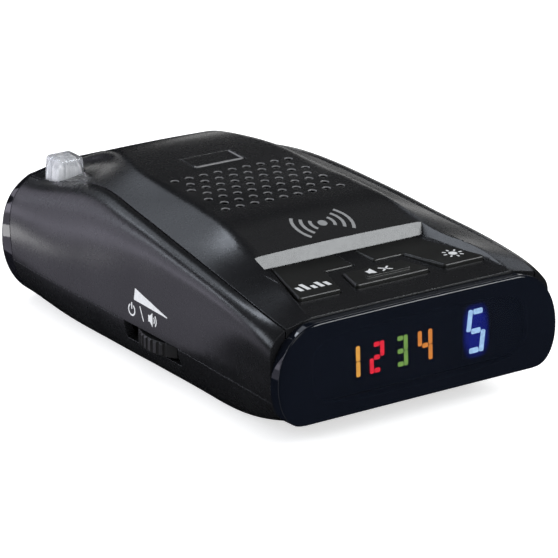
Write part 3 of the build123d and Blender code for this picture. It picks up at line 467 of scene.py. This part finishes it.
def print_mark(name, strokes, land, body, material):
    """Strokes of ink laid on a surface, each a closed thin solid."""
    points, faces = [], []
    for pairs in strokes:
        widest = max((a - b).length for a, b in pairs)
        columns = max(1, math.ceil(widest / STRIP_STEP))
        first, wide = len(points), 2 * (columns + 1)
        for a, b in pairs:
            for k in range(columns + 1):
                spot = a.lerp(b, k / columns)
                point, normal = land(spot.x, spot.y)
                points.append(point + normal * INK_ABOVE * MM)
                points.append(point - normal * INK_BELOW * MM)
        for i in range(len(pairs) - 1):
            here, after = first + i * wide, first + (i + 1) * wide
            for k in range(columns):
                p, q = here + 2 * k, after + 2 * k
                faces += [(p, p + 2, q + 2, q), (p + 1, q + 1, q + 3, p + 3)]
            last_here, last_after = here + 2 * columns, after + 2 * columns
            faces += [(here, after, after + 1, here + 1)]
            faces += [(last_here, last_here + 1, last_after + 1, last_after)]
        for row, flip in ((first, False), (first + (len(pairs) - 1) * wide, True)):
            for k in range(columns):
                p = row + 2 * k
                face = (p, p + 1, p + 3, p + 2)
                faces.append(face[::-1] if flip else face)
    mesh_piece(name, points, faces, body, material, smooth=False)


def speaker_icon(x, y, size, flip=1, waves=2):
    """A loudspeaker seen from the side, facing along +x times flip, with arcs for its sound."""
    def at(across, up):
        return x + flip * across * size, y + up * size

    box = wedge(at(0, -0.22), at(0, 0.22), at(0.2, -0.22), at(0.2, 0.22))
    horn = wedge(at(0.2, -0.22), at(0.2, 0.22), at(0.5, -0.48), at(0.5, 0.48))
    middle = 0 if flip > 0 else 180
    rings = []
    for i in range(waves):
        radius = (0.3 + 0.22 * i) * size
        rings.append(arc(at(0.42, 0), radius, middle - 42, middle + 42, 0.1 * size))
    return [box, horn, *rings]


white_ink = ink("white_ink", (0.62, 0.63, 0.64))
grey_ink = ink("grey_ink", (0.24, 0.245, 0.25))

OUTSIDE = 60  # further out than any surface
on_wall = surface_from("upper_shell", (1, 0, 0), -OUTSIDE)
ramp = [wedge((-12.5, 16.75), (-12.5, 16.95), (0.6, 17.05), (0.2, 19.75))]
print_mark("ramp_mark", ramp, on_wall, "case", white_ink)
power = [arc((1.5, 14.5), 1.2, 118, 422, 0.36), line((1.5, 14.7), (1.5, 16.2), 0.36)]
power += [line((-1.7, 16.2), (-3.1, 13.2), 0.3)]
power += speaker_icon(-5.0, 14.6, 3.3, flip=-1)
print_mark("power_volume_mark", power, on_wall, "case", white_ink)

on_cover = surface_from("top_cover", (0, 0, -1), OUTSIDE)
SIGNAL_AT = (0, -20.4)
signal = [disc(SIGNAL_AT, 1.05)]
for reach in (2.7, 4.7, 6.7):
    signal += [arc(SIGNAL_AT, reach, middle - 36, middle + 36, 0.75) for middle in (0, 180)]
print_mark("signal_mark", signal, on_cover, "case", grey_ink)

KEY_TOP = 29.55
on_key = on_level(KEY_TOP)
BAR_HALF, BAR_FOOT = 0.48, -43.3
skyline = []
for x, height in ((-20.6, 2.2), (-18.9, 3.4), (-17.2, 1.7), (-15.5, 2.9), (-13.8, 2.1)):
    near, far, top = x - BAR_HALF, x + BAR_HALF, BAR_FOOT + height
    skyline.append(wedge((near, BAR_FOOT), (near, top), (far, BAR_FOOT), (far, top)))
print_mark("skyline_mark", skyline, on_key, "left_button", white_ink)
muted = speaker_icon(-3.3, -41.5, 3.5, waves=0)
muted += [line((0.1, -42.5), (2.5, -40.5), 0.42), line((0.1, -40.5), (2.5, -42.5), 0.42)]
print_mark("mute_mark", muted, on_key, "center_button", white_ink)
SUN_AT = Vector((18.6, -41.6))
SUN_RAYS = 8
sun = [disc(SUN_AT, 0.95)]
for i in range(SUN_RAYS):
    angle = math.radians(360 / SUN_RAYS * i)
    ray = Vector((math.cos(angle), math.sin(angle)))
    sun.append(line(SUN_AT + ray * 1.5, SUN_AT + ray * 2.3, 0.4))
print_mark("sun_mark", sun, on_key, "right_button", white_ink)


# ---------------------------------------------------------------- lips, sinks and rim
def tube(path, radius, closed, sides=8, up=(0, 0, 1)):
    """The points and faces of a tube along path.  Open ends are capped."""
    points, faces, count = [], [], len(path)
    for i, spot in enumerate(path):
        before = path[i - 1] if i or closed else path[i]
        after = path[(i + 1) % count] if i < count - 1 or closed else path[i]
        along = (after - before).normalized()
        side = along.cross(Vector(up)).normalized()
        rise = side.cross(along)
        for k in range(sides):
            turn = 2 * math.pi * k / sides
            points.append(spot + (side * math.cos(turn) + rise * math.sin(turn)) * radius)
    for i in range(count if closed else count - 1):
        here, after = i * sides, (i + 1) % count * sides
        for k in range(sides):
            n = (k + 1) % sides
            faces.append((here + k, after + k, after + n, here + n))
    if not closed:
        faces.append(tuple(range(sides)))
        faces.append(tuple((count - 1) * sides + k for k in reversed(range(sides))))
    return points, faces


def rounded_lip(name, path, radius, sink, land, body, material):
    """A half-round lip that follows the surface along an open path."""
    landed = []
    for x, y in path:
        point, normal = land(x, y)
        landed.append(point - normal * sink * MM)
    mesh_piece(name, *tube(landed, radius * MM, False), body, material)


def countersinks(name, sites, profile, land, body, material, sides=28):
    """A closed ring in each hole, its profile given as (radius, height above the surface)."""
    points, faces = [], []
    count = len(profile)
    for x, y in sites:
        first = len(points)
        for k in range(sides):
            turn = 2 * math.pi * k / sides
            across, along = math.cos(turn), math.sin(turn)
            level = land(x + BESIDE_HOLE * across, y + BESIDE_HOLE * along)[0].z
            for radius, height in profile:
                points.append(Vector(((x + radius * across) * MM, (y + radius * along) * MM,
                                      level + height * MM)))
        for k in range(sides):
            here, after = first + k * count, first + ((k + 1) % sides) * count
            for i in range(count):
                n = (i + 1) % count
                faces.append((here + i, after + i, after + n, here + n))
    mesh_piece(name, points, faces, body, material)


# The lips and countersinks are light grey: a painted highlight on the rims of the grille holes and
# the tab's slit
highlight_lip_plastic = moulded("lip_painted_highlight", (0.16, 0.16, 0.165), 0.32, edge=0.00005)

# Speaker grille, millimetres
HOLE_PITCH, ROW_PITCH, GRILLE_Y = 3.72, 3.4, 4.5
GRILLE_ROWS, LONG_ROW = 7, 9
BESIDE_HOLE = 1.15  # how far from a hole's middle the cover's level is taken
SINK_PROFILE = [(1.0, -0.03), (0.955, -0.012), (0.90, -0.09), (0.86, -0.25), (0.86, -0.32),
                (1.0, -0.32)]
holes = []
for row in range(GRILLE_ROWS):
    count, y = LONG_ROW - row % 2, GRILLE_Y + (row - GRILLE_ROWS // 2) * ROW_PITCH
    holes += [((i - (count - 1) / 2) * HOLE_PITCH, y) for i in range(count)]
countersinks("grille_sinks", holes, SINK_PROFILE, on_cover, "case", highlight_lip_plastic)

# Release tab: the lip runs along its slit, round the front from the left, millimetres
TAB_HALF, TAB_FRONT, TAB_REAR = 6.3, 19.7, 25.6
LIP_RADIUS, LIP_SINK, LIP_STEP = 0.30, 0.12, 0.6
LIP_INSET = 0.22  # from the tab's edge to the lip's middle
LIP_RETURN = 0.5  # how far the lip turns back along the left side
on_tab = surface_from("release_tab", (0, 0, -1), OUTSIDE)
lip_x, lip_y = TAB_HALF - LIP_INSET, TAB_FRONT + LIP_INSET
lip_corners = [(-lip_x, lip_y + LIP_RETURN), (-lip_x, lip_y), (lip_x, lip_y), (lip_x, TAB_REAR)]
lip_path = []
for a, b in zip(lip_corners, lip_corners[1:]):
    a, b = Vector(a), Vector(b)
    steps = max(1, round((b - a).length / LIP_STEP))
    lip_path += [a.lerp(b, i / steps) for i in range(steps)]
lip_path.append(lip_corners[-1])
rounded_lip("tab_lip", lip_path, LIP_RADIUS, LIP_SINK, on_tab, "tab", highlight_lip_plastic)

# Display window: the crisp edge where its flat face meets its bevel, millimetres.  Its points
# lie in a plane just behind the face, which leans as the face does.
RIM_MIDDLE = Vector((0, -55.98, 17.0))
RIM_LEAN = 0.0533  # how far the plane goes back for each millimetre up
RIM_RADIUS, RIM_SINK = 0.09, 0.04
RIM_STEP = 2  # degrees
window_tree = surface_tree("display_window")
rim_path = []
for degrees in range(0, 360, RIM_STEP):
    across, rise = math.cos(math.radians(degrees)), math.sin(math.radians(degrees))
    out = Vector((across, RIM_LEAN * rise, rise)).normalized()
    point = window_tree.ray_cast((RIM_MIDDLE + out * OUTSIDE) * MM, -out)[0]
    rim_path.append(point - out * RIM_SINK * MM)
rim_gloss = glossy("rim_gloss", (0.02, 0.021, 0.025), 0.14)
mesh_piece("window_rim", *tube(rim_path, RIM_RADIUS * MM, True, up=(0, 1, 0)), "case", rim_gloss)


# ---------------------------------------------------------------- inside of the rear lens
lens_low, lens_high = (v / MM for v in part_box("sensor_lens"))


def lens_ring(inset, z):
    """The four corners of the lens's outline, moved in by inset, at height z."""
    x_low, x_high = lens_low.x + inset, lens_high.x - inset
    y_low, y_high = lens_low.y + inset, lens_high.y - inset
    return [(x_low, y_low, z), (x_high, y_low, z), (x_high, y_high, z), (x_low, y_high, z)]


rings = [lens_ring(0.7, 28.4), lens_ring(1.1, 32.4), lens_ring(2.0, 34.2)]
core_points = [Vector(spot) * MM for ring in rings for spot in ring]
core_faces = [(3, 2, 1, 0), (8, 9, 10, 11)]
for level in (0, 4):
    for k in range(4):
        n = (k + 1) % 4
        core_faces.append((level + k, level + n, level + 4 + n, level + 4 + k))
core = mesh_piece("lens_core", core_points, core_faces, "case", frosted_core("frosted_core"))
core_edges = core.modifiers.new("rounded", "BEVEL")
core_edges.width, core_edges.segments = 0.0005, 3


# ---------------------------------------------------------------- stage, light and camera
def stage_material(name, color, glow):
    """Plain pale paper that is lit a little from below, so that shadows stay light."""
    s = Shader(name)
    tint = s.mix(s.spread(s.noise(0.3, 3), 0, 1), shade(color, 0.985), color)
    return s.done(s.principled(Base_Color=tint, Roughness=0.9, Specular_IOR_Level=0.0,
                               Emission_Color=tint, Emission_Strength=glow))


FLOOR_HALF = 6.0  # metres
FLOOR_DROP = 0.0003  # how far it lies under the belly
PAPER_GLOW = 0.78
WORLD_LIGHT = 0.75
floor_mesh = bpy.data.meshes.new("floor")
around = ((-1, -1), (1, -1), (1, 1), (-1, 1))
floor_corners = [(x * FLOOR_HALF, y * FLOOR_HALF, 0) for x, y in around]
floor_mesh.from_pydata(floor_corners, [], [(0, 1, 2, 3)])
floor = bpy.data.objects.new("floor", floor_mesh)
bpy.context.collection.objects.link(floor)
floor.location = (0, 0, -FLOOR_DROP)
floor_mesh.materials.append(stage_material("pale_floor", (0.8, 0.8, 0.8), PAPER_GLOW))
floor.visible_glossy = False

world = bpy.data.worlds.new("studio")
bpy.context.scene.world = world
world.use_nodes = True
world.node_tree.nodes["Background"].inputs["Color"].default_value = (1, 1, 1, 1)
world.node_tree.nodes["Background"].inputs["Strength"].default_value = WORLD_LIGHT
world.cycles_visibility.glossy = False


def soft_box(name, direction, distance, size, radiance, target=(0, 0, 0.02), color=(1, 1, 1)):
    """A rectangular light that faces the target from a direction.  Lengths are in metres."""
    data = bpy.data.lights.new(name, "AREA")
    data.shape = "RECTANGLE"
    data.size, data.size_y = size
    data.energy = radiance * math.pi * size[0] * size[1]
    data.color = color
    thing = bpy.data.objects.new(name, data)
    bpy.context.collection.objects.link(thing)
    way = Vector(direction).normalized()
    thing.location = Vector(target) + way * distance
    thing.rotation_mode = "QUATERNION"
    thing.rotation_quaternion = way.to_track_quat("Z", "Y")
    thing.visible_camera = False
    return thing


BACK = Vector((-0.5220, -0.7831, 0.3383)).normalized()  # from the object to the camera


def mirror(tilt):
    """Where a face of that tilt mirrors the studio to the camera."""
    tilt = Vector(tilt).normalized()
    return 2 * tilt.dot(BACK) * tilt - BACK


CARD_HEIGHT = 0.0006  # just above the floor


def floor_card(name, low, high, radiance, color=(1, 1, 1)):
    """A light that lies on the floor and shines up, as a white card does."""
    size = (high[0] - low[0], high[1] - low[1])
    thing = soft_box(name, (0, 0, -1), 0.0, size, radiance, color=color)
    thing.location = ((low[0] + high[0]) / 2, (low[1] + high[1]) / 2, CARD_HEIGHT)
    thing.rotation_quaternion = Matrix.Rotation(math.pi, 3, "X").to_quaternion()


COOL = (0.93, 1.0, 1.12)
VIOLET = (0.99, 0.95, 1.14)
# Name, where it shines from, distance, size and radiance, then its target and colour.  Each is
# named for the face that mirrors it or for where it stands.
soft_box("front_right", mirror((0, -0.867, 0.498)), 0.8, (0.36, 0.24), 12.3,
         color=(0.97, 1.0, 1.02))
soft_box("slope", (0.07, 0.80, 0.60), 1.2, (0.34, 0.24), 1.05, color=COOL)
soft_box("blob", (0.00, 0.61, 0.79), 1.6, (0.26, 0.26), 9.8, (-0.022, -0.018, 0.033), COOL)
soft_box("wall_up", (-0.30, 0.90, 0.33), 0.8, (0.25, 0.25), 1.1, color=VIOLET)
soft_box("wall_middle", (-0.56, 0.82, 0.12), 0.8, (0.30, 0.28), 1.10, color=VIOLET)
soft_box("wall_level", (-0.52, 0.85, -0.02), 0.8, (0.30, 0.10), 0.7, (0, 0, 0.03), VIOLET)
soft_box("recess_side", (-0.79, 0.44, 0.42), 0.8, (0.3, 0.3), 4.2, color=COOL)
soft_box("rear_facet", (0.20, 0.96, 0.21), 0.9, (0.11, 0.11), 1.6)
soft_box("right_back", (0.66, 0.75, 0.06), 0.9, (0.4, 0.14), 1.0)
soft_box("right_up", (0.74, 0.56, 0.38), 0.9, (0.16, 0.16), 1.0, (0.030, -0.050, 0.027), COOL)
soft_box("plateau_rear", mirror((0, 0, 1)), 1.2, (0.4, 0.25), 0.08)
soft_box("plateau_front", (0.54, 0.50, 0.68), 1.0, (0.3, 0.26), 0.20)
soft_box("front_top", (-0.33, -0.50, 0.78), 0.8, (0.4, 0.4), 1.3)
soft_box("bezel_left", (-0.45, 0.80, 0.39), 0.7, (0.09, 0.09), 5.5, (-0.032, -0.054, 0.024), COOL)
soft_box("bezel_crest", (-0.09, 0.82, 0.56), 0.7, (0.09, 0.06), 6.0, (-0.030, -0.054, 0.026), COOL)
floor_card("left_card", (-0.30, 0.0), (-0.044, 0.35), 0.50, VIOLET)
floor_card("cap_card", (-0.085, 0.098), (-0.055, 0.128), 3.0)

CAMERA = Vector((-349.66, -528.40, 242.83)) * MM
UP = Vector((0.1877, 0.2815, 0.9412))
FOCAL_LENGTH, SENSOR_WIDTH = 198.7, 36.0
camera_data = bpy.data.cameras.new("camera")
camera_data.lens = FOCAL_LENGTH
camera_data.sensor_width = SENSOR_WIDTH
camera = bpy.data.objects.new("camera", camera_data)
bpy.context.collection.objects.link(camera)
right = UP.cross(BACK).normalized()
turn = Matrix((right, BACK.cross(right), BACK)).transposed()
camera.matrix_world = Matrix.LocRotScale(CAMERA, turn.to_quaternion(), None)
camera_data.clip_start, camera_data.clip_end = 0.01, 50
bpy.context.scene.camera = camera

bpy.context.scene.view_settings.view_transform = "Standard"
bpy.context.scene.view_settings.look = "None"
